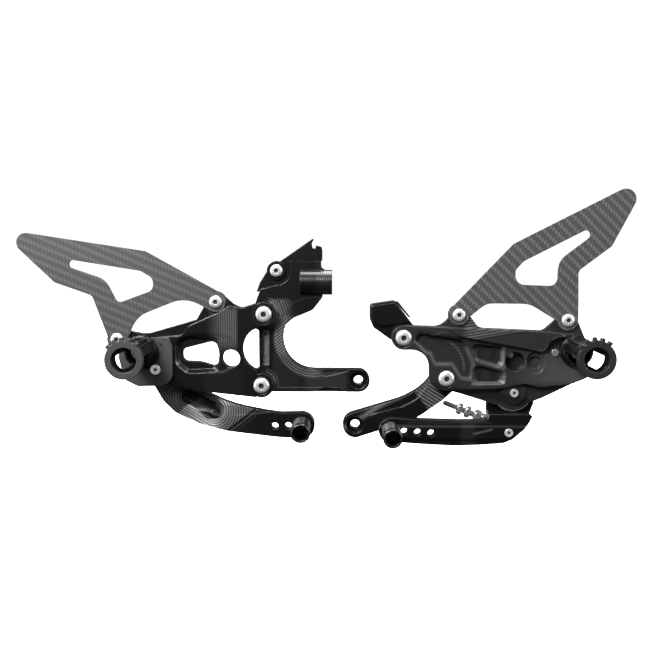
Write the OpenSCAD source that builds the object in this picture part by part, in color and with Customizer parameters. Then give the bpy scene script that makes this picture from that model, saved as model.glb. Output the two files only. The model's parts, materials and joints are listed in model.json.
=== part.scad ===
// Pair of motorcycle rearsets: a brake-side unit and a shift-side unit.
// X runs along the motorcycle, +Z is up, and the outboard side, with the pegs, faces -Y.
// The origin is the axis of the brake unit's front mounting bore, at its inboard face.

/* [Plates] */
// Thickness of each frame bracket
bracket_t = 14; // [12:1:16]
// Thickness of the lug layer of each peg plate
lug_t = 5; // [4:0.5:6]
// Thickness that the front layer of each peg plate adds
front_t = 6; // [5:0.5:8]
// Height of the shift plate's top rail over its front face
rail_t = 4; // [2:0.5:5]
// Depth of the milled lightening pockets
pocket_d = 4; // [2:0.5:4.5]
// Thickness of the carbon heel guards
guard_t = 2.5; // [2:0.5:3]
// Thickness of the flat plate that carries the brake-side foot peg
mount_plate_t = 5; // [4.5:0.5:7]

/* [Foot pegs] */
// Length of a foot peg barrel
peg_len = 68; // [60:1:80]
// Outer radius of the barrel
peg_r = 13.2; // [12.5:0.1:14]
// Bore radius of the barrel
peg_bore_r = 11; // [9:0.5:11.5]
// Outer radius of the end ring
ring_r = 16.5; // [15.5:0.5:18]
// Thickness of the end ring
ring_t = 6; // [4:0.5:8]
// Height of the grip teeth over the end ring
tooth_h = 2.8; // [1.5:0.1:4]
// Number of grip teeth
teeth = 5; // [3:1:7]
// Angle from one grip tooth to the next
tooth_pitch = 21.5; // [18:0.5:26]

/* [Toe pegs] */
// Length of a toe peg
toe_len = 36; // [30:1:42]
// Outer radius of a toe peg
toe_r = 9; // [8:0.1:10]
// Number of grip ribs on a toe peg
toe_ribs = 7; // [4:1:9]

/* [Levers] */
// Distance between the tapped toe peg positions
toe_pitch = 12.6; // [11:0.1:15]
// Running clearance of the pivots
run_gap = 0.05; // [0.02:0.01:0.08]

/* [Fasteners] */
// Head radius of the plate bolts
m8_head_r = 7.6; // [7:0.1:8]
// Head radius of the guard bolts
m6_head_r = 6; // [5.2:0.1:6.2]

/* [Hidden] */
$fn = 64;
ARC_STEP = 12;
EPS = 0.01;
M8 = 4;
M6 = 3;

// Levels from inboard to outboard
y_bracket = -bracket_t;
y_lug = y_bracket - lug_t;
y_front = y_lug - front_t;
y_rail = y_front - rail_t;
y_guard = y_lug - guard_t;
y_mount = y_front - mount_plate_t;
y_arm = -15.5;
y_toe = -27;
peg_recess_d = 3.5;
shift_recess_d = 3;
brake_peg_y = y_mount + peg_recess_d;
shift_peg_y = y_front + shift_recess_d;

// Axes, as [x, z]
BRAKE_PEG = [-201.8, 30];
SHIFT_PEG = [200.5, 30.5];
BRAKE_BOLTS = [[-88.6, 63.7], [-91, -3.3]];
SHIFT_BOLTS = [[41.6, 41.9], [81.8, 3.7]];
BRAKE_LUGS = [[-226.5, 39.8], [-133.6, 75.1]];
SHIFT_LUGS = [[93, 63], [194.1, 58.2]];
UPPER_BOLT = [-77.4, 103.9];
MOUNT_SCREW = [-189.3, 12.3];
BRAKE_MOUNT = [0, 0];
SHIFT_MOUNT = [-3, -42.8];
BRAKE_TOE = [-53.2, -40.6];
SHIFT_TOE = [30, -45.2];
SHIFT_PIVOT = [145.3, -10];
ROD_BOLT = [140.1, -46.8];
TUBE_Z = 93;
TUBE_R = 11.6;
tube_bore_r = 7;
TUBE_Y = -11.6;
TUBE_X = [-55, -25];

// Hub and rod sizes
boss_r = 11.2;
lug_r = 9.6;
hub_back = -4;
bush_r = 8;
shift_hub_r = 19;
shift_hub_front = -12.2;
shift_hub_back = -3;
ROD_Y = 4;
ROD_ANGLE = 158;
rod_len = 62;
rod_tip_r = 2.5;

// ---- Outlines: every corner is [x, z, radius] ----

function unit(v) = v / norm(v);

// Points along an arc, as corners that need no rounding
function arc(centre, r, a0, a1) =
    let (count = ceil(abs(a1 - a0) / ARC_STEP))
    [for (i = [0 : count])
        let (a = a0 + (a1 - a0) * i / count)
        [centre[0] + r * cos(a), centre[1] + r * sin(a), 0]];

// One rounded corner between its two neighbours
function fillet(before, corner, after) =
    let (c = [corner[0], corner[1]], r = corner[2])
    r == 0 ? [c] :
    let (u = unit([before[0], before[1]] - c),
         v = unit([after[0], after[1]] - c),
         half = acos(u * v) / 2,
         centre = c + unit(u + v) * r / sin(half),
         from = c + u * r / tan(half) - centre,
         to = c + v * r / tan(half) - centre,
         a0 = atan2(from[1], from[0]),
         turn = ((atan2(to[1], to[0]) - a0 + 540) % 360) - 180,
         count = max(1, ceil(abs(turn) / ARC_STEP)))
    [for (i = [0 : count])
        centre + r * [cos(a0 + turn * i / count), sin(a0 + turn * i / count)]];

function rounded(corners) =
    let (n = len(corners))
    [for (i = [0 : n - 1])
        each fillet(corners[(i + n - 1) % n], corners[i], corners[(i + 1) % n])];

// ---- Building blocks ----

// Slab of an [x, z] outline between two Y levels
module slab(corners, y_out, y_in) {
    translate([0, y_in, 0])
        rotate([90, 0, 0])
            linear_extrude(y_in - y_out)
                polygon(rounded(corners));
}

// Cylinder along Y at an [x, z] place
module rod_y(at, r, y_out, y_in, sides = $fn) {
    translate([at[0], y_in, at[1]])
        rotate([90, 0, 0])
            cylinder(r = r, h = y_in - y_out, $fn = sides);
}

// Convex pocket whose walls slope in by about 45 degrees towards its floor
module sloped_pocket(corners, middle, inset, y_out, y_floor) {
    hull() {
        slab(corners, y_out - 1, y_out);
        translate([middle[0], 0, middle[1]])
            scale([inset, 1, inset])
                translate([-middle[0], 0, -middle[1]])
                    slab(corners, y_out, y_floor);
    }
}

// Hex socket cut into a head whose face is at y_out
module socket(at, flats, depth, y_out) {
    rod_y(at, flats / sqrt(3), y_out - 1, y_out + depth, 6);
}

// Domed button-head bolt: head seated at y_seat, shank running inboard to y_end
module button_bolt(at, head_r, head_h, shank_r, flats, y_seat, y_end) {
    difference() {
        union() {
            translate([at[0], y_seat, at[1]])
                rotate([90, 0, 0])
                    rotate_extrude()
                        polygon([[0, 0], [head_r, 0], [head_r, head_h * 0.3],
                            [head_r * 0.92, head_h * 0.62], [head_r * 0.76, head_h * 0.87],
                            [head_r * 0.55, head_h], [0, head_h]]);
            rod_y(at, shank_r, y_seat - EPS, y_end);
        }
        socket(at, flats, head_h * 0.6, y_seat - head_h);
    }
}

// Hex nut threaded on a shank of radius bore
module nut(at, flats, bore, y_out, y_in) {
    difference() {
        rod_y(at, flats / sqrt(3), y_out, y_in, 6);
        rod_y(at, bore, y_out - 1, y_in + 1);
    }
}

// Cap screw whose head lies between y_head and y_seat
module cap_screw(at, head_r, shank_r, flats, y_head, y_seat, y_end) {
    difference() {
        union() {
            rod_y(at, head_r, y_head, y_seat);
            rod_y(at, shank_r, y_seat - EPS, y_end);
        }
        socket(at, flats, (y_seat - y_head) * 0.6, y_head);
    }
}

// Holes for a set of bolts
module drill(places, r, y_out, y_in) {
    for (p = places)
        rod_y(p, r, y_out - 1, y_in + 1);
}

// ---- Brake-side outlines ----

brake_arm_top = 10.8;
brake_c = [-41.9, 40.6];
brake_c_r = 29.8;

// Spine and forward arm, up to the height where the upper bracket begins
brake_spine = concat(
    [[0, -brake_arm_top, 0], [0, brake_arm_top, 0]],
    arc(brake_c, brake_c_r, 270, 156),
    [[-61.5, 59.5, 4], [-43.5, 67, 8], [-34, 79, 6], [-34, 86, 0],
     [-80, 86, 0], [-92.3, 74, 0], [-98, 66, 0], [-98, 49.5, 0], [-94, 48, 2.5],
     [-94, 12, 2.5], [-99, 9.5, 0], [-99, -3, 0], [-92.3, -10.8, 4]]);

// Front of the upper part, with the hollow edge that runs round the upper bolt
brake_shoulder = concat(
    [[-38.8, 82, 0], [-28, 82, 0], [-28, 93, 0], [-31.5, 104.5, 0], [-35.3, 107, 3],
     [-35.3, 113, 0], [-67.6, 113, 0]],
    arc(UPPER_BOLT, 13.4, 42, -90),
    [[-92.5, 86.2, 0], [-97, 74, 0], [-80, 64, 0], [-60, 64, 0]]);

brake_upper_pad = [[-88, 76, 4], [-84, 98, 8], [-74, 110, 6], [-50, 110, 6], [-36, 98, 4],
    [-36, 84, 0], [-60, 74, 0]];

brake_upper_outline = concat(
    [[-99.5, 75, 1], [-93.2, 92.5, 8], [-85.6, 104.6, 8], [-68.5, 116.6, 4], [-43.6, 133.8, 0.4],
     [-42.2, 133, 0.4], [-44.2, 129.8, 1.5], [-43.6, 124.6, 1.5], [-40.6, 124.8, 1],
     [-40.4, 127.6, 0.5], [-35, 126.3, 1], [-34.2, 123, 2], [-34.2, 113.1, 0],
     [-67.4, 113.1, 0]],
    arc(UPPER_BOLT, 13.6, 42, -90),
    [[-92.8, 86.4, 0]]);

// The D-shaped window between the peg plate and the spine
brake_d_centre = [-87.5, 31];
brake_d_r = 21.3;

// Everything that both layers of the brake peg plate share, from the first big bolt
// down and back to the tail
brake_plate_right = concat(
    [[-96, 73.8, 0], [-88.6, 63.7, 0]],
    arc(brake_d_centre, brake_d_r, 100, 248),
    [[-91, -3.3, 0], [-95.8, -14.4, 0], [-150.4, -8.4, 30], [-178.4, -3, 20]]);

brake_plate_lugs = concat(
    [[-232.5, 47.5, 0], [-221, 48.4, 0], [-199.3, 44.6, 20], [-152, 58.2, 4], [-143.5, 73, 0],
     [-128, 82, 0], [-117.6, 73.1, 4], [-110, 69.2, 8]],
    brake_plate_right,
    [[-210, -1.5, 8], [-219, 9, 8], [-223.5, 26, 6], [-233, 31, 4], [-236.2, 40, 0]]);

brake_plate_front = concat(
    [[-216, 38, 6], [-182, 42, 3], [-166, 43.5, 6], [-158.5, 52.5, 5], [-133, 64, 8],
     [-121.5, 71.2, 3], [-110, 69.2, 8]],
    brake_plate_right,
    [[-210, -1.5, 8], [-218, 14, 8]]);

brake_window = [[-165.5, 30.8, 5], [-133.5, 39, 6], [-130.2, 26, 20], [-132.5, 14, 5],
    [-148, 18.6, 12], [-165, 19.6, 5]];
brake_window_pocket = [[-172, 39, 8], [-160, 43.5, 8], [-131, 42.5, 7], [-127.5, 26, 20],
    [-131, 9.5, 7], [-161, 8, 8], [-171.5, 16, 8]];
brake_round_hole = [-119.3, 22.2];
brake_round_hole_r = 8.4;

brake_mount_outline = [[-176.3, 41.8, 3], [-173.6, 34, 3], [-173.6, -2.6, 12], [-206, -3.4, 6],
    [-218.5, 3, 8], [-224, 26, 8], [-212, 42.5, 6]];

brake_guard_outline = concat(
    [[-336.8, 143.4, 9], [-198.7, 122.2, 10]],
    arc(BRAKE_LUGS[1], lug_r, 59, -118),
    [[-162, 79.5, 30], [-208, 61, 25]],
    arc(BRAKE_LUGS[0], lug_r, -4, -198),
    [[-249.2, 80.9, 6], [-284.1, 93.1, 8]]);
brake_guard_window = [[-270.8, 114.6, 3.6], [-203.5, 103.8, 5], [-192, 97, 7], [-192, 86, 7],
    [-225.5, 73.6, 5], [-236.5, 95.8, 18], [-269.6, 107.2, 3.5]];

// Brake lever: hub, root behind the plate and arm in front of it
brake_lever_outline = [[-214.5, 22, 0], [-194, -5, 20], [-185.5, -20, 20],
    [-174, -31.3, 14], [-147, -41.2, 40], [-120, -46.4, 60], [-76, -51.6, 60], [-52, -52.7, 0],
    [-53, -28.6, 0], [-74.4, -29, 30], [-90, -26.6, 40], [-121.6, -20.3, 60],
    [-150.3, -9, 12], [-160, 5, 20], [-190, 38, 0], [-201.8, 30, 0]];

// Plan of the lever's jog, measured square to a fold line through jog_at
jog_at = [-98.8, -25.9];
jog_angle = 34.7;
jog_run = 38;

// ---- Brake-side parts ----

module brake_frame_bracket() {
    color("#1c1c1f")
    difference() {
        union() {
            slab(brake_spine, y_bracket, 0);
            slab(brake_shoulder, y_bracket, -bracket_t / 2 + 2);
            slab(brake_upper_pad, y_bracket + 2, 0);
            rod_y(BRAKE_MOUNT, brake_arm_top, y_bracket, 0);
            for (p = BRAKE_BOLTS)
                rod_y(p, boss_r - 1, y_bracket, 0);
            translate([TUBE_X[0], TUBE_Y, TUBE_Z])
                rotate([0, 90, 0])
                    cylinder(r = TUBE_R, h = TUBE_X[1] - TUBE_X[0]);
        }
        // Tube bore
        translate([TUBE_X[0] + 6, TUBE_Y, TUBE_Z])
            rotate([0, 90, 0])
                cylinder(r = tube_bore_r, h = 40);
        drill(BRAKE_BOLTS, M8, y_bracket, -2);
        drill([UPPER_BOLT], M6, y_bracket, 0);
        // Room for the upper bracket
        slab(brake_upper_outline, y_bracket - 1, -5);
        // Front mounting bore with its counterbore
        drill([BRAKE_MOUNT], 4.4, y_bracket, 0);
        rod_y(BRAKE_MOUNT, 8.3, y_bracket - 1, y_bracket + 4);
        // Ledges above and below the arm's waist, and the groove in the spine
        slab([[-50, 12, 0], [-42, 9.5, 2], [-31, 3.4, 6], [-9, 9, 2], [-9, 12, 0]],
            y_bracket - 1, y_bracket + 2.5);
        slab([[-48, -12, 0], [-31, -6.2, 8], [-12, -9.5, 2], [-12, -12, 0]],
            y_bracket - 1, y_bracket + 2.5);
        slab([[-89.9, 15.3, 2], [-84.9, 15.3, 2], [-84.9, 46, 2], [-89.9, 46, 2]],
            y_bracket - 1, y_bracket + 2);
    }
}

module brake_upper_bracket() {
    color("#26262a")
    difference() {
        union() {
            slab(brake_upper_outline, -11, -5);
            rod_y(UPPER_BOLT, 9, -12.5, -5);
        }
        drill([UPPER_BOLT], M6, -12.5, -5);
    }
}

module brake_upper_bolt() {
    color("silver")
    button_bolt(UPPER_BOLT, m6_head_r, 3.3, M6, 4, -12.5, -1);
}

module brake_peg_plate() {
    color("#17171a")
    difference() {
        union() {
            slab(brake_plate_lugs, y_lug, y_bracket);
            slab(brake_plate_front, y_front, y_lug + EPS);
            for (p = BRAKE_LUGS)
                rod_y(p, lug_r, y_lug, y_bracket);
            for (p = BRAKE_BOLTS)
                rod_y(p, boss_r, y_front, y_bracket);
        }
        sloped_pocket(brake_window_pocket, [-150, 26], 0.82, y_front, y_front + pocket_d);
        slab(brake_window, y_front - 1, y_bracket + 1);
        drill([brake_round_hole], brake_round_hole_r, y_front, y_bracket);
        drill(BRAKE_BOLTS, M8, y_front, y_bracket);
        for (p = BRAKE_BOLTS)
            rod_y(p, m8_head_r + 0.9, y_front - 1, y_front + 1.5);
        drill(BRAKE_LUGS, M6, y_front, y_bracket);
        drill([BRAKE_PEG], M8, y_front, y_bracket);
        drill([MOUNT_SCREW], 2.5, y_front, y_bracket);
    }
}

module brake_mount_plate() {
    color("#3a3a3c")
    difference() {
        slab(brake_mount_outline, y_mount, y_front);
        rod_y([-199, 29.5], 14.8, y_mount - 1, brake_peg_y);
        rod_y([-188.5, 30], 8, y_mount - 1, brake_peg_y);
        rod_y([-197, 17], 4.5, y_mount - 1, brake_peg_y);
        rod_y(BRAKE_PEG, peg_r + 1.5, y_mount - 1, brake_peg_y);
        drill([BRAKE_PEG], M8, y_mount, y_front);
        drill([MOUNT_SCREW], 2.5, y_mount, y_front);
        rod_y(MOUNT_SCREW, 4.9, y_mount - 1, y_mount + 2);
    }
}

module brake_mount_screw() {
    color("silver")
    cap_screw(MOUNT_SCREW, 4.6, 2.5, 3, y_mount - 0.6, y_mount + 2, y_bracket - 1);
}

module brake_heel_guard() {
    color("#4a4a4c")
    difference() {
        slab(brake_guard_outline, y_guard, y_lug);
        slab(brake_guard_window, y_guard - 1, y_lug + 1);
        drill(BRAKE_LUGS, M6, y_guard, y_lug);
    }
}

module plate_bolts(places) {
    for (p = places)
        button_bolt(p, m8_head_r, 4.4, M8, 5, y_front + 1.5, -3);
}

module guard_bolts(places) {
    for (p = places)
        button_bolt(p, m6_head_r, 3.3, M6, 4, y_guard, y_bracket + 6);
}

module guard_nuts(places) {
    for (p = places)
        nut(p, 10, M6, y_bracket, y_bracket + 5);
}

module brake_plate_bolts() {
    color("silver")
    plate_bolts(BRAKE_BOLTS);
}

module brake_guard_bolts() {
    color("silver")
    guard_bolts(BRAKE_LUGS);
}

module brake_guard_nuts() {
    color("silver")
    guard_nuts(BRAKE_LUGS);
}

// ---- Foot pegs ----

peg_web = 8;
peg_top = 96;

// Tube with a flanged base, a neck behind the ring, grip grooves and side windows
module peg_barrel(at, y_base) {
    y_end = y_base - peg_len;
    difference() {
        union() {
            rod_y(at, peg_r, y_end + 4, y_base);
            rod_y(at, peg_r + 1.2, y_base - 6, y_base);
            rod_y(at, peg_r - 1, y_end, y_base - 1);
        }
        rod_y(at, peg_bore_r, y_end - 1, y_base - peg_web);
        rod_y(at, M8, y_end, y_base + 1);
        // Lightening windows low on both sides
        for (a = [-28, 208])
            translate([at[0], y_base - 36, at[1]])
                rotate([0, -a, 0])
                    translate([12, 0, 0])
                        cube([16, 40, 14], center = true);
        // Grip grooves along the top
        for (a = [peg_top - 42, peg_top - 14, peg_top + 14, peg_top + 42])
            translate([at[0] + (peg_r + 0.6) * cos(a), y_base - 8, at[1] + (peg_r + 0.6) * sin(a)])
                rotate([90, 0, 0])
                    cylinder(r = 1.8, h = peg_len);
    }
}

// End ring with a row of grip teeth on top
module peg_ring(at, y_base) {
    y_in = y_base - peg_len;
    tip_r = ring_r + tooth_h;
    first = peg_top - tooth_pitch * (teeth - 1) / 2;
    difference() {
        union() {
            rod_y(at, ring_r, y_in - ring_t, y_in);
            intersection() {
                rod_y(at, tip_r, y_in - ring_t, y_in);
                slab([[at[0], at[1], 0],
                    [at[0] + 30 * cos(first - 6), at[1] + 30 * sin(first - 6), 0],
                    [at[0], at[1] + 60, 0],
                    [at[0] + 30 * cos(2 * peg_top - first + 6),
                     at[1] + 30 * sin(2 * peg_top - first + 6), 0]],
                    y_in - ring_t - 1, y_in + 1);
            }
        }
        rod_y(at, peg_bore_r, y_in - ring_t - 1, y_in + 1);
        for (i = [0 : teeth - 2])
            let (a = first + tooth_pitch * (i + 0.5))
            hull()
                for (r = [ring_r + 1.9, tip_r + 3])
                    rod_y(at + r * [cos(a), sin(a)], 2, y_in - ring_t - 1, y_in + 1, 24);
    }
}

module brake_foot_peg() {
    color("#1a1a1c")
    peg_barrel(BRAKE_PEG, brake_peg_y);
}

module brake_peg_ring() {
    color("#38383a")
    peg_ring(BRAKE_PEG, brake_peg_y);
}

module brake_peg_bolt() {
    color("silver")
    cap_screw(BRAKE_PEG, 6.5, M8, 6, brake_peg_y - peg_web - 8, brake_peg_y - peg_web, 5);
}

module brake_pivot_bush() {
    color("goldenrod")
    difference() {
        rod_y(BRAKE_PEG, bush_r, y_bracket, hub_back + 0.3);
        rod_y(BRAKE_PEG, M8, y_bracket - 1, 1);
    }
}

module brake_pivot_washer() {
    color("silver")
    difference() {
        rod_y(BRAKE_PEG, 11.5, hub_back + 0.3, hub_back + 2);
        rod_y(BRAKE_PEG, M8, hub_back - 1, 1);
    }
}

module brake_pivot_nut() {
    color("silver")
    nut(BRAKE_PEG, 13, M8, hub_back + 2, hub_back + 8.5);
}

// ---- Brake lever ----

module brake_lever() {
    hub_front = y_bracket + 0.3;
    front_jog = hub_front - y_toe;
    back_jog = hub_back - y_arm;
    color("#161618")
    difference() {
        intersection() {
            union() {
                slab(brake_lever_outline, y_toe, hub_back);
                rod_y(BRAKE_PEG, 14.5, y_toe, hub_back);
                rod_y(BRAKE_TOE, 12.1, y_toe, y_arm);
            }
            // Side profile of the jog, extruded along the fold
            translate([jog_at[0], 0, jog_at[1]])
                rotate([0, -jog_angle, 0])
                    translate([-200, 0, 0])
                        rotate([90, 0, 90])
                            linear_extrude(400)
                                polygon([[y_toe, -150], [y_toe, 0],
                                    [y_toe + front_jog, jog_run], [y_toe + front_jog, 200],
                                    [hub_back, 200], [hub_back, jog_run + 5],
                                    [hub_back - back_jog, 5], [y_arm, -150]]);
        }
        rod_y(BRAKE_PEG, bush_r + run_gap, y_toe, 1);
        // Milled hollow where the arm leaves the root
        translate([-171, -29, -10])
            rotate([0, 90 + 23, 0])
                rotate_extrude()
                    polygon([[0, -12], [9, -11], [15, 0], [15, 36], [9, 47], [0, 48]]);
        for (i = [0 : 2])
            rod_y(BRAKE_TOE - [toe_pitch * i, 0.3 * i], i == 0 ? M8 : 3.4, y_toe - 1, y_arm + 1);
    }
}

// Ribbed toe peg on a lever, open at its outer end for the bolt
module toe_peg(at, y_base, sides) {
    rib = (toe_len - 9) / toe_ribs;
    difference() {
        intersection() {
            translate([at[0], y_base, at[1]])
                rotate([90, 0, 0])
                    rotate_extrude()
                        polygon(concat([[0, 0], [toe_r - 1, 0], [toe_r, 1], [toe_r, 4]],
                            [for (i = [0 : toe_ribs - 1])
                                each [[toe_r - 1.6, 4.4 + rib * i], [toe_r - 1.6, 5.6 + rib * i],
                                    [toe_r, 6.2 + rib * i], [toe_r, 4 + rib * (i + 1)]]],
                            [[toe_r, toe_len - 1.2], [toe_r - 1.2, toe_len], [0, toe_len]]));
            rod_y(at, sides == 0 ? toe_r + 1 : toe_r + 0.25, y_base - toe_len, y_base,
                sides == 0 ? $fn : sides);
        }
        rod_y(at, 6.7, y_base - toe_len - 1, y_base - 8);
        rod_y(at, M8, y_base - 9, y_base + 1);
    }
}

module brake_toe_peg() {
    color("#141416")
    toe_peg(BRAKE_TOE, y_toe, 10);
}

module toe_bolt(at) {
    cap_screw(at, 6.4, M8, 6, y_toe - 16, y_toe - 8, y_arm);
}

module brake_toe_bolt() {
    color("#2a2a2c")
    toe_bolt(BRAKE_TOE);
}

// ---- Shift-side outlines ----

shift_bracket_outline = [[10.8, 72.2, 3], [34, 75.6, 2.5], [50, 54.5, 4], [64, 40, 10],
    [76, 18, 10], [92, 10, 6], [91, -8, 6], [80.5, -18, 30], [54.5, -36.3, 40], [0.9, -53.9, 0],
    [-6.7, -31.6, 0], [41, -17.2, 40], [58.5, -7.8, 40], [69, 4, 14], [69, 20, 12],
    [56, 33, 8], [36, 35, 0], [14, 50.5, 4], [10.8, 58, 4]];

// Front face of the bracket's arm, set down from the arm's upper edge
shift_arm_step = [[3.5, -26, 0], [7.5, -34, 6], [41, -25.3, 10], [55, -18, 8], [67, -2, 0],
    [52, 8, 0]];

shift_fin = [[32, 75.3, 0], [37.6, 74.2, 1], [49, 60.2, 0], [47.8, 59.2, 0], [37, 71.6, 0],
    [32, 72, 0]];

shift_plate_left = [[81, -7.4, 0], [66, -7.5, 13], [66, 31.2, 17.5], [41.6, 30.6, 0]];

shift_plate_lugs = concat(
    [[41.6, 53.2, 0], [76, 52.4, 14], [86.5, 63, 0], [100, 67, 0], [112, 51, 9], [172, 48.4, 9],
     [187, 62, 0], [202, 62, 0], [211, 41, 8], [214.5, 5, 7], [200.8, -1.3, 20],
     [172.6, -15, 20], [158, -20.8, 0], [130, -22, 0], [121.8, -19.5, 6], [96, -11.4, 8]],
    shift_plate_left);

shift_plate_front = concat(
    [[41.6, 53.2, 0], [171, 48, 6], [184, 46.5, 3], [205, 45, 4], [213, 32, 4],
     [214.3, 5.5, 6], [199, -0.6, 10], [168.5, -4.4, 20], [155, -0.8, 12], [131, -5.4, 15]],
    shift_plate_left);

shift_rail = [[83, 52, 1], [171, 48, 6], [184, 46.5, 2], [190.5, 45.7, 1], [182, 42.4, 4],
    [177, 39.6, 4], [170.5, 29.3, 4], [155, 32.2, 0], [92, 43.8, 8]];

shift_pocket_a = [[52.6, 46.8, 5.5], [96, 40.4, 5], [106.4, 18, 10], [104.8, 2.8, 4.5],
    [95.5, 4.4, 4.5], [87, 17.3, 9], [71.5, 17.3, 5], [66.8, 27, 2.5], [62.6, 28.4, 2.5],
    [53, 38, 3.5]];
shift_pocket_b = [[103.4, 37, 4], [135, 33.4, 5], [135, 11.8, 6.5], [108.3, 20.3, 7]];
shift_pocket_c = [[104.6, -2.2, 5], [106.2, 18.2, 6.5], [136.6, 9.2, 4.5], [136.4, -1.2, 4]];
shift_round_pocket = [145.1, 19.8];
shift_round_pocket_r = 9.2;
shift_oval_pocket = [164.1, 18.7];
shift_pins = [[182.6, 28, 3.4], [142, 25.6, 2.8]];

// Recess for the foot peg's base
shift_peg_recess = [[174, 39, 2], [174, 27, 5], [184.5, 22.6, 6], [197, 12.5, 6], [209, 8.6, 3],
    [220, 12, 0], [220, 44.4, 0], [182, 42, 2]];

shift_guard_outline = concat(
    [[266.8, 191.9, 9.6], [142.7, 129, 10]],
    arc(SHIFT_LUGS[0], lug_r, 137, 345),
    [[118.5, 73.8, 16], [158.5, 73.4, 24]],
    arc(SHIFT_LUGS[1], lug_r, 185, 360),
    [[202.8, 104, 6], [232.9, 126.8, 6]]);
shift_guard_window = [[212, 143.3, 4], [213.2, 135.4, 4], [184.2, 113.3, 18],
    [183.6, 89.9, 7.5], [144.8, 91.4, 9], [144.8, 104.6, 5], [152, 112.7, 6]];

// Shift lever: web behind the plate, then the arm in front of the bracket
shift_web = [[165, -12, 0], [166, -21, 4], [160.5, -36, 0], [122, -42, 0], [122, -22, 3],
    [128, -10, 0]];
shift_block = [[122, -29.6, 2], [163, -29.6, 2], [158.4, -38.5, 4], [154.4, -44, 4],
    [143.2, -53.6, 6], [135, -56.8, 6], [122, -57.8, 0]];
shift_arm = [[130, -29.6, 0], [130, -57, 0], [118, -58.2, 0], [91, -59.4, 60], [58, -57.8, 40],
    [31, -55.7, 0], [29.4, -33.1, 0], [50, -34.8, 20], [94.5, -35.9, 20], [120, -35.6, 5],
    [123, -29.6, 0]];

// ---- Shift-side parts ----

module shift_frame_bracket() {
    color("#1c1c1f")
    difference() {
        union() {
            slab(shift_bracket_outline, y_bracket, 0);
            rod_y(SHIFT_MOUNT, 11.8, y_bracket, 0);
            for (p = SHIFT_BOLTS)
                rod_y(p, boss_r - 1, y_bracket, 0);
            slab(shift_fin, -6, -3);
            // Raised face of the upper block
            slab([[12.6, 55.5, 2], [12, 70.8, 2], [33.5, 74, 2], [48, 56.6, 1], [22, 52.4, 2]],
                y_bracket - 3, y_bracket);
        }
        slab(shift_arm_step, y_bracket - 1, y_bracket + 3);
        drill([SHIFT_MOUNT], 4.4, y_bracket, 0);
        rod_y(SHIFT_MOUNT, 8, y_bracket - 1, y_bracket + 6);
        drill(SHIFT_BOLTS, M8, y_bracket, -2);
    }
}

module shift_peg_plate() {
    color("#17171a")
    difference() {
        union() {
            slab(shift_plate_lugs, y_lug, y_bracket);
            slab(shift_plate_front, y_front, y_lug + EPS);
            slab(shift_rail, y_rail, y_front + EPS);
            for (p = SHIFT_LUGS)
                rod_y(p, lug_r, y_lug, y_bracket);
            rod_y(SHIFT_BOLTS[0], boss_r, y_front, y_bracket);
            rod_y(SHIFT_PIVOT, 16.8, y_lug, y_bracket);
            rod_y(SHIFT_PIVOT, 11, y_lug - 2.5, y_bracket);
        }
        slab(shift_pocket_a, y_front - 1, y_front + pocket_d);
        sloped_pocket(shift_pocket_b, [121, 25], 0.76, y_front, y_front + pocket_d);
        sloped_pocket(shift_pocket_c, [119, 6], 0.72, y_front, y_front + pocket_d);
        rod_y(shift_round_pocket, shift_round_pocket_r, y_front - 1, y_front + 8);
        for (dz = [-2.4, 2.4])
            rod_y(shift_oval_pocket + [0, dz], 8.1, y_front - 1, y_front + 2.5);
        rod_y(shift_oval_pocket, 6, y_front - 1, y_front + 5);
        slab(shift_peg_recess, y_front - 1, shift_peg_y);
        rod_y(SHIFT_PEG, peg_r + 1.5, y_rail - 1, shift_peg_y);
        drill(SHIFT_BOLTS, M8, y_front, y_bracket);
        for (p = SHIFT_BOLTS)
            rod_y(p, m8_head_r + 0.9, y_front - 1, y_front + 1.5);
        drill(SHIFT_LUGS, M6, y_front, y_bracket);
        drill([SHIFT_PEG], M8, y_front, y_bracket);
        drill([SHIFT_PIVOT], M6, y_front, y_bracket);
        for (p = shift_pins)
            rod_y(p, p[2], y_front - 1, y_bracket + 1);
    }
}

module shift_index_pins() {
    color("silver")
    for (p = shift_pins)
        rod_y(p, p[2], y_front + (p[2] < 3 ? 6 : 1.2), y_bracket - 0.5);
}

module shift_heel_guard() {
    color("#4a4a4c")
    difference() {
        slab(shift_guard_outline, y_guard, y_lug);
        slab(shift_guard_window, y_guard - 1, y_lug + 1);
        drill(SHIFT_LUGS, M6, y_guard, y_lug);
    }
}

module shift_plate_bolts() {
    color("silver")
    plate_bolts(SHIFT_BOLTS);
}

module shift_guard_bolts() {
    color("silver")
    guard_bolts(SHIFT_LUGS);
}

module shift_guard_nuts() {
    color("silver")
    guard_nuts(SHIFT_LUGS);
}

module shift_foot_peg() {
    color("#1a1a1c")
    peg_barrel(SHIFT_PEG, shift_peg_y);
}

module shift_peg_ring() {
    color("#38383a")
    peg_ring(SHIFT_PEG, shift_peg_y);
}

module shift_peg_bolt() {
    color("silver")
    cap_screw(SHIFT_PEG, 6.5, M8, 6, shift_peg_y - peg_web - 8, shift_peg_y - peg_web,
        y_bracket + 7);
}

module shift_peg_nut() {
    color("silver")
    nut(SHIFT_PEG, 13, M8, y_bracket, y_bracket + 6.5);
}

module shift_pivot_bolt() {
    color("silver")
    cap_screw(SHIFT_PIVOT, 3.8, M6, 3, y_lug - 5.5, y_lug - 2.5, 3);
}

module shift_pivot_bush() {
    color("goldenrod")
    difference() {
        rod_y(SHIFT_PIVOT, bush_r, y_bracket, shift_hub_back + 0.3);
        rod_y(SHIFT_PIVOT, M6, y_bracket - 1, 1);
    }
}

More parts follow.
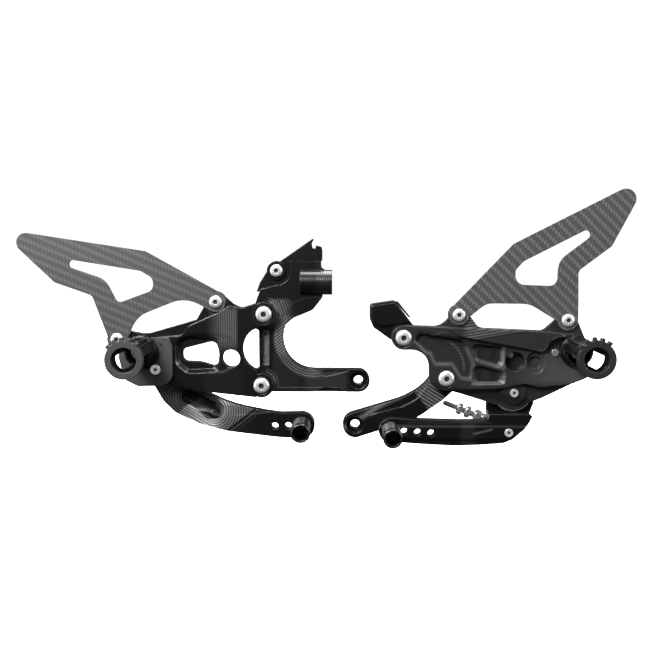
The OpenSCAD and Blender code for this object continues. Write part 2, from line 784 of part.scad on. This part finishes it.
module shift_pivot_nut() {
    color("silver")
    difference() {
        union() {
            rod_y(SHIFT_PIVOT, 10, shift_hub_back + 0.3, shift_hub_back + 2);
            rod_y(SHIFT_PIVOT, 5.8, shift_hub_back + 2, shift_hub_back + 6, 6);
        }
        rod_y(SHIFT_PIVOT, M6, shift_hub_back - 1, 5);
    }
}

module shift_pivot_disc() {
    color("silver")
    difference() {
        rod_y(SHIFT_PIVOT, shift_hub_r, y_bracket + 0.3, shift_hub_front);
        rod_y(SHIFT_PIVOT, bush_r + run_gap, y_bracket - 1, 0);
    }
}

module shift_lever() {
    color("#161618")
    difference() {
        union() {
            rod_y(SHIFT_PIVOT, shift_hub_r - 0.6, shift_hub_front, shift_hub_back);
            slab(shift_web, shift_hub_front, shift_hub_back);
            slab(shift_block, y_toe, shift_hub_back);
            slab(shift_arm, y_toe, y_arm);
            rod_y(SHIFT_TOE, 11.3, y_toe, y_arm);
        }
        rod_y(SHIFT_PIVOT, bush_r + run_gap, y_toe, 1);
        drill([ROD_BOLT], M6, y_toe, 0);
        for (i = [0 : 3])
            rod_y(SHIFT_TOE + [toe_pitch * i, -0.8 * i], i == 0 ? M8 : 3.4,
                y_toe - 1, y_arm + 1);
    }
}

module shift_toe_peg() {
    color("#141416")
    toe_peg(SHIFT_TOE, y_toe, 0);
}

module shift_toe_bolt() {
    color("#2a2a2c")
    toe_bolt(SHIFT_TOE);
}

// ---- Shift rod, drawn along +X from its eye and then turned ----

module along_rod() {
    translate([ROD_BOLT[0], ROD_Y, ROD_BOLT[1]])
        rotate([0, -ROD_ANGLE, 0])
            children();
}

// Cylinder along the rod
module rod_x(r, x0, x1, sides = $fn) {
    translate([x0, 0, 0])
        rotate([0, 90, 0])
            cylinder(r = r, h = x1 - x0, $fn = sides);
}

module shift_rod_bolt() {
    color("silver")
    cap_screw(ROD_BOLT, 3.9, M6, 3, y_toe - 1.5, y_toe, ROD_Y + 5);
}

module shift_rod_spacer() {
    color("silver")
    difference() {
        rod_y(ROD_BOLT, 4.6, shift_hub_back, ROD_Y - 3.4);
        rod_y(ROD_BOLT, M6, shift_hub_back - 1, ROD_Y);
    }
}

// Points of a ball's meridian, as [radius, height], up to the height half_w
function meridian(r, half_w) =
    let (top = asin(half_w / r), count = 6)
    [for (i = [0 : count])
        let (a = -top + 2 * top * i / count)
        [r * cos(a), r * sin(a)]];

module shift_rod_end() {
    color("#b8b8bc")
    along_rod()
        difference() {
            union() {
                rotate([90, 0, 0])
                    cylinder(r = 8.4, h = 5.6, center = true);
                rod_x(4.6, 6.5, 27);
                rod_x(6, 24, 29.5, 6);
            }
            rotate([90, 0, 0])
                rotate_extrude()
                    polygon(concat([[0, -3], [4.6, -3]], meridian(5.6, 2.9), [[4.6, 3], [0, 3]]));
            rod_x(M6, 18, 40);
        }
}

module shift_rod_ball() {
    color("silver")
    along_rod()
        rotate([90, 0, 0])
            rotate_extrude()
                polygon(concat([[M6, -3.4]], meridian(5.5, 3.4), [[M6, 3.4]]));
}

module shift_rod() {
    color("silver")
    along_rod()
        union() {
            rod_x(M6, 18.5, 47.5);
            rod_x(rod_tip_r, 30, rod_len);
        }
}

module shift_rod_nuts() {
    color("silver")
    along_rod()
        difference() {
            union() {
                rod_x(5.8, 43, 47, 6);
                rod_x(5.8, 34.5, 39, 6);
            }
            rod_x(M6, 30, 50);
        }
}

brake_frame_bracket();
brake_upper_bracket();
brake_upper_bolt();
brake_peg_plate();
brake_mount_plate();
brake_mount_screw();
brake_heel_guard();
brake_plate_bolts();
brake_guard_bolts();
brake_guard_nuts();
brake_foot_peg();
brake_peg_ring();
brake_peg_bolt();
brake_pivot_bush();
brake_pivot_washer();
brake_pivot_nut();
brake_lever();
brake_toe_peg();
brake_toe_bolt();
shift_frame_bracket();
shift_peg_plate();
shift_index_pins();
shift_heel_guard();
shift_plate_bolts();
shift_guard_bolts();
shift_guard_nuts();
shift_foot_peg();
shift_peg_ring();
shift_peg_bolt();
shift_peg_nut();
shift_pivot_bolt();
shift_pivot_bush();
shift_pivot_nut();
shift_pivot_disc();
shift_lever();
shift_toe_peg();
shift_toe_bolt();
shift_rod_bolt();
shift_rod_spacer();
shift_rod_end();
shift_rod_ball();
shift_rod();
shift_rod_nuts();
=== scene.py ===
import json
import math

import bpy
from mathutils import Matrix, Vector


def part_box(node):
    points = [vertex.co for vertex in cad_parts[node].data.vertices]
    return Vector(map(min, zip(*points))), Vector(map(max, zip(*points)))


MM = 0.001
MM_PER_METRE = 1000

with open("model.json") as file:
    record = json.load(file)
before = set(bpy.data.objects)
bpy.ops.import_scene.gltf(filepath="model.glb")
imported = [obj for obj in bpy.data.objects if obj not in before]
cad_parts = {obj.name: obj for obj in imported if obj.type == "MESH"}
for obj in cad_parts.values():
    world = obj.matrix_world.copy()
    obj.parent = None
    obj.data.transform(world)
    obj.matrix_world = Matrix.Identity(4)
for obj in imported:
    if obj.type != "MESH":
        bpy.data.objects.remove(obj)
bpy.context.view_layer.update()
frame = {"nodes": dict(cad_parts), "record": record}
NODES = frame["nodes"]
SLOT_OF = {s["node"]: s["material_slot"] for s in frame["record"]["subparts"]}

# The bolts' axes, as (x, z) in millimetres.
BRAKE_PLATE_BOLTS = [(-88.6, 63.7), (-91, -3.3)]
BRAKE_GUARD_BOLTS = [(-226.5, 39.8), (-133.6, 75.1)]
BRAKE_UPPER_BOLT = (-77.4, 103.9)
BRAKE_MOUNT_SCREW = (-189.3, 12.3)
SHIFT_PLATE_BOLTS = [(41.6, 41.9), (81.8, 3.7)]
SHIFT_GUARD_BOLTS = [(93, 63), (194.1, 58.2)]
SHIFT_PIVOT = (145.3, -10)
SHIFT_ROD_BOLT = (140.1, -46.8)


# ---------------------------------------------------------------- material helpers
def material(name, colour, metallic, roughness, specular=0.5):
    """A Principled material, its node tree and its shader node."""
    mat = bpy.data.materials.new(name)
    mat.use_nodes = True
    shader = mat.node_tree.nodes["Principled BSDF"]
    shader.inputs["Base Color"].default_value = (*colour, 1)
    shader.inputs["Metallic"].default_value = metallic
    shader.inputs["Roughness"].default_value = roughness
    shader.inputs["Specular IOR Level"].default_value = specular
    return mat, mat.node_tree, shader


def math_node(tree, operation, a, b=None):
    """The output of one Math node; a and b are numbers or sockets."""
    node = tree.nodes.new("ShaderNodeMath")
    node.operation = operation
    for socket, value in zip(node.inputs, (a, b)):
        if value is None:
            continue
        if isinstance(value, (int, float)):
            socket.default_value = value
        else:
            tree.links.new(value, socket)
    return node.outputs[0]


def axes_of(tree, output="Object"):
    """The x, y and z of an output of the Texture Coordinate node."""
    coord = tree.nodes.new("ShaderNodeTexCoord")
    split = tree.nodes.new("ShaderNodeSeparateXYZ")
    tree.links.new(coord.outputs[output], split.inputs[0])
    return split.outputs


def two_colours(tree, shader, factor, first, second):
    """Base Color goes from first to second with factor."""
    mix = tree.nodes.new("ShaderNodeMix")
    mix.data_type = "RGBA"
    tree.links.new(factor, mix.inputs["Factor"])
    mix.inputs["A"].default_value = (*first, 1)
    mix.inputs["B"].default_value = (*second, 1)
    tree.links.new(mix.outputs["Result"], shader.inputs["Base Color"])


def rounded_edges(tree, shader, radius_mm, height=None):
    """Normals that turn smoothly over every edge, with an optional height field in metres."""
    edge = tree.nodes.new("ShaderNodeBevel")
    edge.samples = 6
    edge.inputs["Radius"].default_value = radius_mm * MM
    normal = edge.outputs[0]
    if height is not None:
        bump = tree.nodes.new("ShaderNodeBump")
        bump.inputs["Strength"].default_value = 1
        bump.inputs["Distance"].default_value = 1
        tree.links.new(height, bump.inputs["Height"])
        tree.links.new(normal, bump.inputs["Normal"])
        normal = bump.outputs[0]
    tree.links.new(normal, shader.inputs["Normal"])


class Field:
    """Relief and painted light over a piece's side view, built from smooth steps and ripples.

    Places are (x, z) and sizes are lengths, both in millimetres. Angles are in degrees
    from +X towards +Z. A mask is a socket that goes from 0 to 1.
    total is the relief in metres, tone is painted light added to the base colour (painted
    highlights where it is above zero, painted shade where it is below zero), and dull takes away
    specular reflection.
    """

    def __init__(self, tree):
        self.tree = tree
        axes = axes_of(tree)
        self.x = math_node(tree, "MULTIPLY", axes[0], MM_PER_METRE)
        self.z = math_node(tree, "MULTIPLY", axes[2], MM_PER_METRE)
        self.total = None
        # tone collects the painted highlights and the painted shade.
        self.tone = None
        self.dull = None

    def m(self, operation, a, b=None):
        return math_node(self.tree, operation, a, b)

    # distances
    def along(self, angle, x=0, z=0):
        """Distance from (x, z) in the direction of angle."""
        c, s = math.cos(math.radians(angle)), math.sin(math.radians(angle))
        line = self.m("ADD", self.m("MULTIPLY", self.x, c), self.m("MULTIPLY", self.z, s))
        return self.m("SUBTRACT", line, c * x + s * z)

    def hypotenuse(self, a, b):
        return self.m("SQRT", self.m("ADD", self.m("MULTIPLY", a, a), self.m("MULTIPLY", b, b)))

    def radius(self, x, z):
        """Distance from (x, z)."""
        return self.hypotenuse(self.m("SUBTRACT", self.x, x), self.m("SUBTRACT", self.z, z))

    def segment(self, a, b):
        """Distance from the segment between a and b."""
        length = math.dist(a, b)
        angle = math.degrees(math.atan2(b[1] - a[1], b[0] - a[0]))
        t = self.along(angle, *a)
        over = self.m("SUBTRACT", t, self.m("MAXIMUM", self.m("MINIMUM", t, length), 0))
        return self.hypotenuse(over, self.along(angle + 90, *a))

    def nearest(self, distances):
        near = None
        for distance in distances:
            near = distance if near is None else self.m("MINIMUM", near, distance)
        return near

    def path(self, *places):
        """Distance from the line through the places."""
        return self.nearest(self.segment(a, b) for a, b in zip(places, places[1:]))

    # masks
    def step(self, value, start, end):
        """0 at start and 1 at end, smoothly."""
        ramp = self.tree.nodes.new("ShaderNodeMapRange")
        ramp.interpolation_type = "SMOOTHSTEP"
        ramp.inputs["From Min"].default_value = min(start, end)
        ramp.inputs["From Max"].default_value = max(start, end)
        if start > end:
            ramp.inputs["To Min"].default_value = 1
            ramp.inputs["To Max"].default_value = 0
        self.tree.links.new(value, ramp.inputs["Value"])
        return ramp.outputs["Result"]

    def band(self, value, centre, width):
        """1 on a line where value is centre, fading to 0 at half the width either side."""
        half = width / 2
        return self.both(self.step(value, centre - half, centre),
                         self.step(value, centre + half, centre))

    def both(self, *masks):
        """1 where every mask is 1."""
        out = masks[0]
        for mask in masks[1:]:
            out = self.m("MULTIPLY", out, mask)
        return out

    def area(self, *masks, x=(), z=()):
        """The masks inside soft borders in x and z. Each border is (where 0, where 1)."""
        borders = [self.step(self.x, *border) for border in x]
        borders += [self.step(self.z, *border) for border in z]
        return self.both(*masks, *borders)

    def outboard(self):
        """1 on faces that look outboard, along -Y, and 0 on side walls and backs."""
        return self.step(axes_of(self.tree, "Normal")[1], -0.2, -0.5)

    # what a piece's shape is made of
    def add(self, mask, mm):
        """Raise the surface by mm where mask is 1."""
        part = self.m("MULTIPLY", mask, mm * MM)
        self.total = part if self.total is None else self.m("ADD", self.total, part)

    def paint_light_and_shade(self, mask, tone):
        # Painted light: a tone above zero paints a highlight where mask is 1, and a tone below
        # zero paints shade.
        part = self.m("MULTIPLY", mask, tone)
        self.tone = part if self.tone is None else self.m("ADD", self.tone, part)

    def ripple(self, distance, pitch, mask, mm, tone):
        """Cutter marks: a wave of mm over distance in relief, with a painted highlight of tone on
        the crests.
        """
        wave = self.m("SINE", self.m("MULTIPLY", distance, 2 * math.pi / pitch))
        if mm:
            self.add(self.both(wave, mask), mm)
        # The crests get a painted highlight.
        crest = self.m("ADD", self.m("MULTIPLY", wave, 0.5), 0.5)
        self.paint_light_and_shade(self.both(crest, mask), tone)


# ---------------------------------------------------------------- materials
def anodised(name, shape=None, roughness=0.28, ground=0.0015, specular=0.4):
    """Black anodised aluminium. shape(field) adds the piece's milled relief and its painted
    highlights and painted shade.
    """
    mat, tree, shader = material(name, (ground,) * 3, 0.0, roughness, specular)
    field = Field(tree)
    if shape:
        shape(field)
    if field.dull is not None:
        shine = field.m("MULTIPLY", field.m("SUBTRACT", 1, field.dull), specular)
        tree.links.new(shine, shader.inputs["Specular IOR Level"])
    if field.tone is not None:
        # The painted highlights and painted shade go only on faces that look outboard.
        painted_light_outboard = field.both(field.tone, field.outboard())
        tree.links.new(field.m("ADD", painted_light_outboard, ground), shader.inputs["Base Color"])
    rounded_edges(tree, shader, 0.9, field.total)
    return mat


TOW = 2.5 * MM  # width of one strand of the carbon weave
PLAIN_CARBON = (0.05, 0.05, 0.052)  # where a viewer can't show the weave


def carbon(name, warp_deg, ground, dash_tone):
    """2x2 twill: each warp tow, at warp_deg to X, floats over two weft tows as
    one light oval dash, and the dashes step diagonally from tow to tow."""
    mat, tree, shader = material(name, PLAIN_CARBON, 0.0, 0.45, 0.4)
    axes = axes_of(tree)

    def m(operation, a, b=None):
        return math_node(tree, operation, a, b)

    def in_tows(a, b):
        return m("ADD", m("MULTIPLY", axes[0], a), m("MULTIPLY", axes[2], b))

    c = math.cos(math.radians(warp_deg)) / TOW
    s = math.sin(math.radians(warp_deg)) / TOW
    along, across = in_tows(c, s), in_tows(-s, c)
    column = m("FLOOR", across)
    place = m("FLOORED_MODULO", m("SUBTRACT", along, column), 4)
    over = m("LESS_THAN", place, 2)
    length_wave = m("MAXIMUM", m("SINE", m("MULTIPLY", place, math.pi / 2)), 0)
    width_wave = m("SINE", m("MULTIPLY", m("SUBTRACT", across, column), math.pi))
    dash = m("MULTIPLY", over, m("MULTIPLY", m("POWER", length_wave, 0.6), width_wave))
    blue = 1.03  # the weave is very slightly blue
    two_colours(tree, shader, dash, (ground, ground, ground * blue),
                (dash_tone, dash_tone, dash_tone * blue))
    return mat


def bolt_steel(name, axes_mm, socket_mm, tone=0.62, metallic=0.7):
    """Bright steel with painted shade in the hex sockets: the shade is painted on what lies
    within socket_mm of a bolt's axis and more than half a millimetre behind the heads' front."""
    mat, tree, shader = material(name + "_with_painted_light", (tone,) * 3, metallic, 0.28)
    field = Field(tree)
    near = field.nearest(field.radius(x, z) for x, z in axes_mm)
    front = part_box(name)[0].y
    sunk = field.m("GREATER_THAN", axes_of(tree)[1], front + 0.5 * MM)
    # Painted shade: the sockets' colour goes to near black.
    painted_socket_shade = field.both(field.m("LESS_THAN", near, socket_mm), sunk)
    two_colours(tree, shader, painted_socket_shade, (tone,) * 3, (0.08,) * 3)
    rounded_edges(tree, shader, 0.35)
    return mat


# ---------------------------------------------------------------- milled relief and painted light
# Each function is called with a Field. In ripple, the numbers are the pitch, the mask,
# the height in millimetres and the tone of the painted highlight on the crests; for the other
# painted light, the mask and the tone: a painted highlight above zero, painted shade below zero.
def brake_plate_shape(f):
    # Painted light: the tones below are painted highlights, on the rib crests, over the rib band
    # and in rings.
    pitch = 2.1
    upright_lines = f.area(x=[(-144, -124), (-112, -115)], z=[(26, 40), (72, 66)])
    f.ripple(f.x, pitch, upright_lines, 0.08, 0.045)
    f.paint_light_and_shade(upright_lines, 0.01)
    low_lines = f.area(x=[(-150, -140), (-104, -112)], z=[(14, 8)])
    f.ripple(f.x, pitch, low_lines, 0.03, 0.004)
    window = f.segment((-152, 27), (-131, 27))
    f.add(f.step(window, 20, 15), -0.7)
    # Painted highlights in rings round a guard bolt and a plate bolt.
    f.paint_light_and_shade(f.band(f.radius(*BRAKE_GUARD_BOLTS[1]), 11.3, 2.4), 0.012)
    f.paint_light_and_shade(f.band(f.radius(*BRAKE_PLATE_BOLTS[0]), 10.2, 2), 0.006)


def brake_bracket_shape(f):
    # Painted light: every tone below is a painted highlight, on ripple crests, on the gap's rim,
    # on rings and along bands.
    gap = f.radius(-41.9, 40.6)  # the C-shaped gap
    gap_rim = 38.5
    inside = f.area(f.step(gap, gap_rim, 37), x=[(-30, -42)], z=[(64, 52)])
    f.ripple(f.along(128), 2.4, f.area(inside, z=[(22, 28)]), 0.08, 0.1)
    f.ripple(gap, 2.4, f.area(inside, z=[(28, 22)]), 0.08, 0.06)
    f.paint_light_and_shade(f.band(gap, gap_rim, 2), 0.01)
    web = f.area(f.step(gap, 38, 40), x=[(-82, -80), (-52, -60)], z=[(50, 44)])
    f.ripple(f.along(128), 2.2, web, 0.03, 0.008)

    groove = f.area(x=[(-90.5, -89.5), (-84, -85)], z=[(13.5, 16), (49, 46)])
    f.ripple(f.along(65), 2.3, groove, 0.08, 0.1)
    f.paint_light_and_shade(groove, 0.02)
    neck = f.area(x=[(-85, -82), (-60, -72)], z=[(54, 60), (79, 75)])
    f.ripple(f.along(20), 2.3, neck, 0.08, 0.06)
    for bolt in BRAKE_PLATE_BOLTS:
        ring = f.radius(*bolt)
        right_half = (bolt[0] + 1, bolt[0] + 6)
        # Painted highlights on the right halves of two rings round each plate bolt.
        f.paint_light_and_shade(f.area(f.band(ring, 12.3, 1.8), x=[right_half]), 0.06)
        f.paint_light_and_shade(f.area(f.band(ring, 15, 1.6), x=[right_half]), 0.03)
    f.paint_light_and_shade(f.area(f.band(f.z, 101.5, 4), x=[(-56, -53)]), 0.04)

    tube = f.area(x=[(-42, -38)], z=[(81, 83)])
    f.ripple(f.x, 2.0, tube, 0.03, 0.006)
    arm = f.area(x=[(-56, -46), (-8, -14)], z=[(9, 7)])
    f.ripple(f.segment((-31, 6), (-8, 10)), 2.3, arm, 0.06, 0.018)
    # A painted highlight along a line at z -6.6 on the arm.
    f.paint_light_and_shade(f.area(f.band(f.z, -6.6, 1.8), x=[(-84, -80), (-14, -30)]), 0.03)


def brake_lever_shape(f):
    # Painted light: the tones below are painted highlights, on ripple crests round the bowl, on
    # the scallops, along the fold and along the top edge.
    bowl = f.segment((-161, -15.7), (-136, -28.2))
    fold = f.along(-52, -118, -42)
    root = f.step(fold, 0.5, -1.5)
    pitch = 2.4
    f.dull = f.m("MULTIPLY", f.step(bowl, 9, 5), 0.8)
    f.add(f.both(f.step(bowl, 4, 14), root), 1.2)
    f.ripple(bowl, pitch, f.both(root, f.step(bowl, 6, 9)), 0.1, 0.06)
    f.ripple(bowl, pitch, f.area(f.step(bowl, 9, 12), x=[(-165, -174)]), 0, 0.06)
    scallops = f.both(f.band(f.along(63, -148, -24), -1.5, 4), f.step(bowl, 6, 3))
    f.ripple(f.along(-27), 3.1, scallops, 0, 0.02)
    f.paint_light_and_shade(f.band(fold, 1.8, 1.4), 0.04)
    f.paint_light_and_shade(f.band(fold, 4.8, 1.2), 0.015)
    top_edge = f.band(f.along(96, -90, -27.5), -1.2, 1.8)
    f.paint_light_and_shade(f.area(top_edge, x=[(-124, -110)]), 0.03)


def shift_plate_shape(f):
    # Painted light: tones above zero below are painted highlights on ripple crests, rims and
    # pocket walls, and a painted sheen; tones below zero are painted shade.
    rail = f.along(100, 93, 51)
    rail_lines = f.area(f.step(rail, -14, -10), x=[(92, 104), (176, 166)], z=[(33, 36)])
    f.ripple(rail, 2.5, rail_lines, 0.06, 0.06)
    rail_end = f.path((172, 31), (180, 41), (190, 44.5))
    f.paint_light_and_shade(f.step(rail_end, 1.8, 0.6), 0.04)

    curved_dots = f.area(f.band(f.radius(67, 12), 31.5, 4), z=[(40, 36), (8, 12)])
    f.ripple(f.z, 2.9, curved_dots, 0.06, 0.05)
    lower_rim = f.path((53, 38), (62.6, 28.4), (66.8, 27), (71.5, 17.3), (87, 17.3),
                       (95.5, 4.4), (104.8, 2.8), (106.4, 18), (100, 32))
    f.paint_light_and_shade(f.step(lower_rim, 2.6, 0.8), 0.03)
    upper_shade = f.path((56, 45.5), (94, 39.5))
    f.paint_light_and_shade(f.step(upper_shade, 4.5, 2.5), -0.007)
    upper_dots = f.area(f.band(f.along(105, 62, 43), 0, 3), x=[(54, 60), (84, 78)])
    f.ripple(f.along(10), 3.2, upper_dots, 0, 0.03)
    rail_shade = f.area(f.step(rail, -15, -12), x=[(90, 98), (184, 176)], z=[(31, 33)])
    f.paint_light_and_shade(rail_shade, -0.006)
    lower_edge = f.along(-100, 108, -14)
    f.add(f.step(lower_edge, -8, 2), -2.5)

    # Painted shade over a round patch at (145.1, 19.8); a painted highlight on a ring round
    # (164.1, 18.7).
    f.paint_light_and_shade(f.step(f.radius(145.1, 19.8), 9.4, 8.8), -0.008)
    f.paint_light_and_shade(f.band(f.radius(164.1, 18.7), 8.8, 2), 0.012)
    upper_pocket_wall = f.path((110, 21.5), (134.5, 13.5), (134.5, 32.5))
    f.paint_light_and_shade(f.step(upper_pocket_wall, 2.4, 0.8), 0.03)
    lower_pocket_wall = f.path((106, -1.5), (135.5, -0.5), (135.5, 8.5))
    f.paint_light_and_shade(f.step(lower_pocket_wall, 2.2, 0.8), 0.03)
    # A painted sheen over the right part of the plate.
    f.paint_light_and_shade(f.area(x=[(128, 190)], z=[(-6, 4), (34, 28)]), 0.022)
    for pocket in ((119, 27), (119, 6)):
        middle = f.radius(*pocket)
        floor = f.step(middle, 10, 7)
        # Painted shade on the pocket floors.
        f.paint_light_and_shade(floor, -0.005)
        f.ripple(f.along(20), 2.6, f.both(floor, f.step(middle, 6, 4)), 0.04, 0.01)


def shift_bracket_shape(f):
    # Painted light: the tones below are painted highlights on the stripe crests and along the top
    # edge.
    arm = f.along(38, 50, -8)
    stripes = f.area(f.step(arm, 0, 2), f.step(arm, 21, 19), z=[(24, 18)])
    f.ripple(f.along(58), 2.9, stripes, 0.1, 0.09)
    f.add(f.step(f.along(122, 32, -16), -6, 4), -2.2)
    top_edge = f.band(f.along(113, 20, -27), 0, 2)
    f.paint_light_and_shade(f.area(top_edge, x=[(4, 12), (48, 42)]), 0.015)


def shift_lever_shape(f):
    # Painted light: the tones below are painted highlights in the groove, on ripple crests and
    # along a band at z -37.5.
    f.add(f.step(f.z, -43, -39), -1.6)
    f.add(f.step(f.z, -52, -56), -1.2)
    groove = f.segment((108, -48), (124, -44))
    f.paint_light_and_shade(f.step(groove, 1.6, 0.6), 0.03)
    f.ripple(f.along(40), 2.4, f.area(x=[(92, 98), (112, 106)]), 0.06, 0.01)
    f.paint_light_and_shade(f.area(f.band(f.z, -37.5, 1.8), x=[(40, 50), (128, 120)]), 0.012)


# ---------------------------------------------------------------- what each piece is made of
MATERIALS = {
    "black_anodised": anodised("black_anodised"),
    "satin_black": material("satin_black", (0.024, 0.024, 0.025), 0.0, 0.45, 0.4)[0],
    "shift_peg_ring": material("shift_ring_black", (0.01, 0.01, 0.01), 0.0, 0.4, 0.4)[0],
    "brake_carbon": carbon("brake_carbon", 112, 0.025, 0.056),
    "shift_carbon": carbon("shift_carbon", 90, 0.03, 0.075),
    "stainless": material("stainless", (0.85, 0.85, 0.85), 0.9, 0.18)[0],
    "bright_aluminium": material("bright_aluminium", (0.75, 0.75, 0.75), 0.75, 0.3)[0],
    "black_steel": material("black_steel", (0.03, 0.03, 0.032), 0.6, 0.35)[0],
    "bronze": material("bronze", (0.55, 0.38, 0.16), 1.0, 0.35)[0],
}
# The function, and what differs from plain black anodised aluminium.
SHAPED = {
    "brake_peg_plate": (brake_plate_shape, {}),
    "brake_frame_bracket": (brake_bracket_shape, {}),
    "brake_lever": (brake_lever_shape, {}),
    "shift_peg_plate": (shift_plate_shape, dict(roughness=0.36, ground=0.009, specular=0.5)),
    "shift_frame_bracket": (shift_bracket_shape, {}),
    "shift_lever": (shift_lever_shape, {}),
}
# Each shaped piece gets black anodised aluminium with its relief and its painted highlights and
# painted shade.
for name, (shape, look) in SHAPED.items():
    MATERIALS[name] = anodised(name + "_with_painted_light", shape, **look)

# The sockets' radius in millimetres, inside which they are painted with shade: M8, M6, and the
# small heads.
M8_SOCKET, M6_SOCKET, SCREW_SOCKET, SMALL_SOCKET = 2.9, 2.4, 2.2, 1.6
MATERIALS.update({
    name: bolt_steel(name, *look) for name, look in {
        "brake_plate_bolts": (BRAKE_PLATE_BOLTS, M8_SOCKET),
        "brake_guard_bolts": (BRAKE_GUARD_BOLTS, M6_SOCKET),
        "brake_upper_bolt": ([BRAKE_UPPER_BOLT], M6_SOCKET),
        "shift_plate_bolts": (SHIFT_PLATE_BOLTS, M8_SOCKET),
        "shift_guard_bolts": (SHIFT_GUARD_BOLTS, M6_SOCKET),
        "shift_pivot_bolt": ([SHIFT_PIVOT], SMALL_SOCKET),
        "shift_rod_bolt": ([SHIFT_ROD_BOLT], SMALL_SOCKET),
        # The recessed mount screw gets lighter steel: painted light against the shade of its
        # recess.
        "brake_mount_screw": ([BRAKE_MOUNT_SCREW], SCREW_SOCKET, 0.85, 0.2),
    }.items()
})


# ---------------------------------------------------------------- CAD pieces
# Width of the softened edges in millimetres, by material slot.
BEVELS = {"black_anodised": 0.6, "satin_black": 0.4, "carbon_sheet": 0.25, "stainless": 0.2,
          "bright_aluminium": 0.25, "black_steel": 0.2, "bronze": 0.2}
SAME_PLACE = 0.002 * MM
FLAT_WITHIN = math.radians(0.6)
SHARP_FROM = math.radians(32)


def soften_edges(piece, width_mm):
    """Weld and planar decimate clean the CAD mesh, so that the bevel's narrow
    faces catch the light along every edge."""
    weld = piece.modifiers.new("weld", "WELD")
    weld.merge_threshold = SAME_PLACE
    flat = piece.modifiers.new("flat", "DECIMATE")
    flat.decimate_type = "DISSOLVE"
    flat.angle_limit = FLAT_WITHIN
    bevel = piece.modifiers.new("bevel", "BEVEL")
    bevel.width = width_mm * MM
    bevel.segments = 2
    bevel.limit_method = "ANGLE"
    bevel.angle_limit = SHARP_FROM
    normals = piece.modifiers.new("normals", "WEIGHTED_NORMAL")
    normals.mode = "FACE_AREA"
    normals.weight = 50


for name, piece in NODES.items():
    slot = SLOT_OF[name]
    # Each side's guard has its own weave, named after the side.
    finish = name.split("_")[0] + "_carbon" if slot == "carbon_sheet" else slot
    piece.data.materials.clear()
    piece.data.materials.append(MATERIALS.get(name) or MATERIALS[finish])
    for polygon in piece.data.polygons:
        polygon.use_smooth = True
    soften_edges(piece, BEVELS[slot])


# ---------------------------------------------------------------- floor and backdrop
def to_stage(name, mat):
    """Name the object just made and stage it. Only the camera and shadows see it."""
    made = bpy.context.object
    made.name = name
    made.data.materials.append(mat)
    made.visible_diffuse = False
    made.visible_glossy = False
    return made


white, _, white_shader = material("backdrop_white", (0.9, 0.9, 0.9), 0.0, 0.9, 0.0)
white_shader.inputs["Emission Color"].default_value = (1, 1, 1, 1)
white_shader.inputs["Emission Strength"].default_value = 0.9
bpy.ops.mesh.primitive_plane_add(size=6, location=(0, 0, -0.085))
to_stage("floor", white)
bpy.ops.mesh.primitive_uv_sphere_add(segments=48, ring_count=24, radius=4.4)
to_stage("backdrop", white).visible_shadow = False


# ---------------------------------------------------------------- light
def towards(target, place):
    """The rotation that looks from place to target."""
    return (Vector(target) - Vector(place)).to_track_quat("-Z", "Y").to_euler()


def area_light(name, place, size, watts, aim_x=0.0):
    """A rectangle of light. place, size and aim_x are in metres."""
    data = bpy.data.lights.new(name, "AREA")
    data.shape = "RECTANGLE"
    data.size, data.size_y = size
    data.energy = watts
    lamp = bpy.data.objects.new(name, data)
    bpy.context.scene.collection.objects.link(lamp)
    lamp.location = place
    lamp.rotation_euler = towards((aim_x, 0, 0.03), place)


area_light("key", (-0.5, -0.9, 0.72), (0.45, 0.35), 34)
area_light("top", (0.1, 0.05, 1.0), (1.4, 0.35), 26)
area_light("upper_left", (-0.85, -0.3, 0.8), (0.3, 0.3), 14)
area_light("back_right", (1.2, 0.9, 0.4), (0.5, 0.5), 12)
area_light("back_left", (-1.2, 0.9, 0.4), (0.5, 0.5), 12)
area_light("right", (1.0, -0.35, 0.35), (0.25, 0.8), 10, aim_x=0.1)
area_light("left", (-1.0, -0.25, 0.1), (0.25, 0.8), 4, aim_x=-0.1)

world = bpy.data.worlds.new("studio")
bpy.context.scene.world = world
world.use_nodes = True
sky = world.node_tree.nodes["Background"]
sky.inputs["Color"].default_value = (1, 1, 1, 1)
sky.inputs["Strength"].default_value = 0.07
bpy.context.scene.view_settings.view_transform = "Standard"

# ---------------------------------------------------------------- camera
CAMERA_PLACE = (-0.0195, -0.840, 0.1278)
CAMERA_AIM = (-0.0316, -0.020, 0.0534)
camera_data = bpy.data.cameras.new("camera")
camera_data.sensor_width = 36
camera_data.lens = 48.8
camera = bpy.data.objects.new("camera", camera_data)
bpy.context.scene.collection.objects.link(camera)
camera.location = CAMERA_PLACE
camera.rotation_euler = towards(CAMERA_AIM, CAMERA_PLACE)
bpy.context.scene.camera = camera
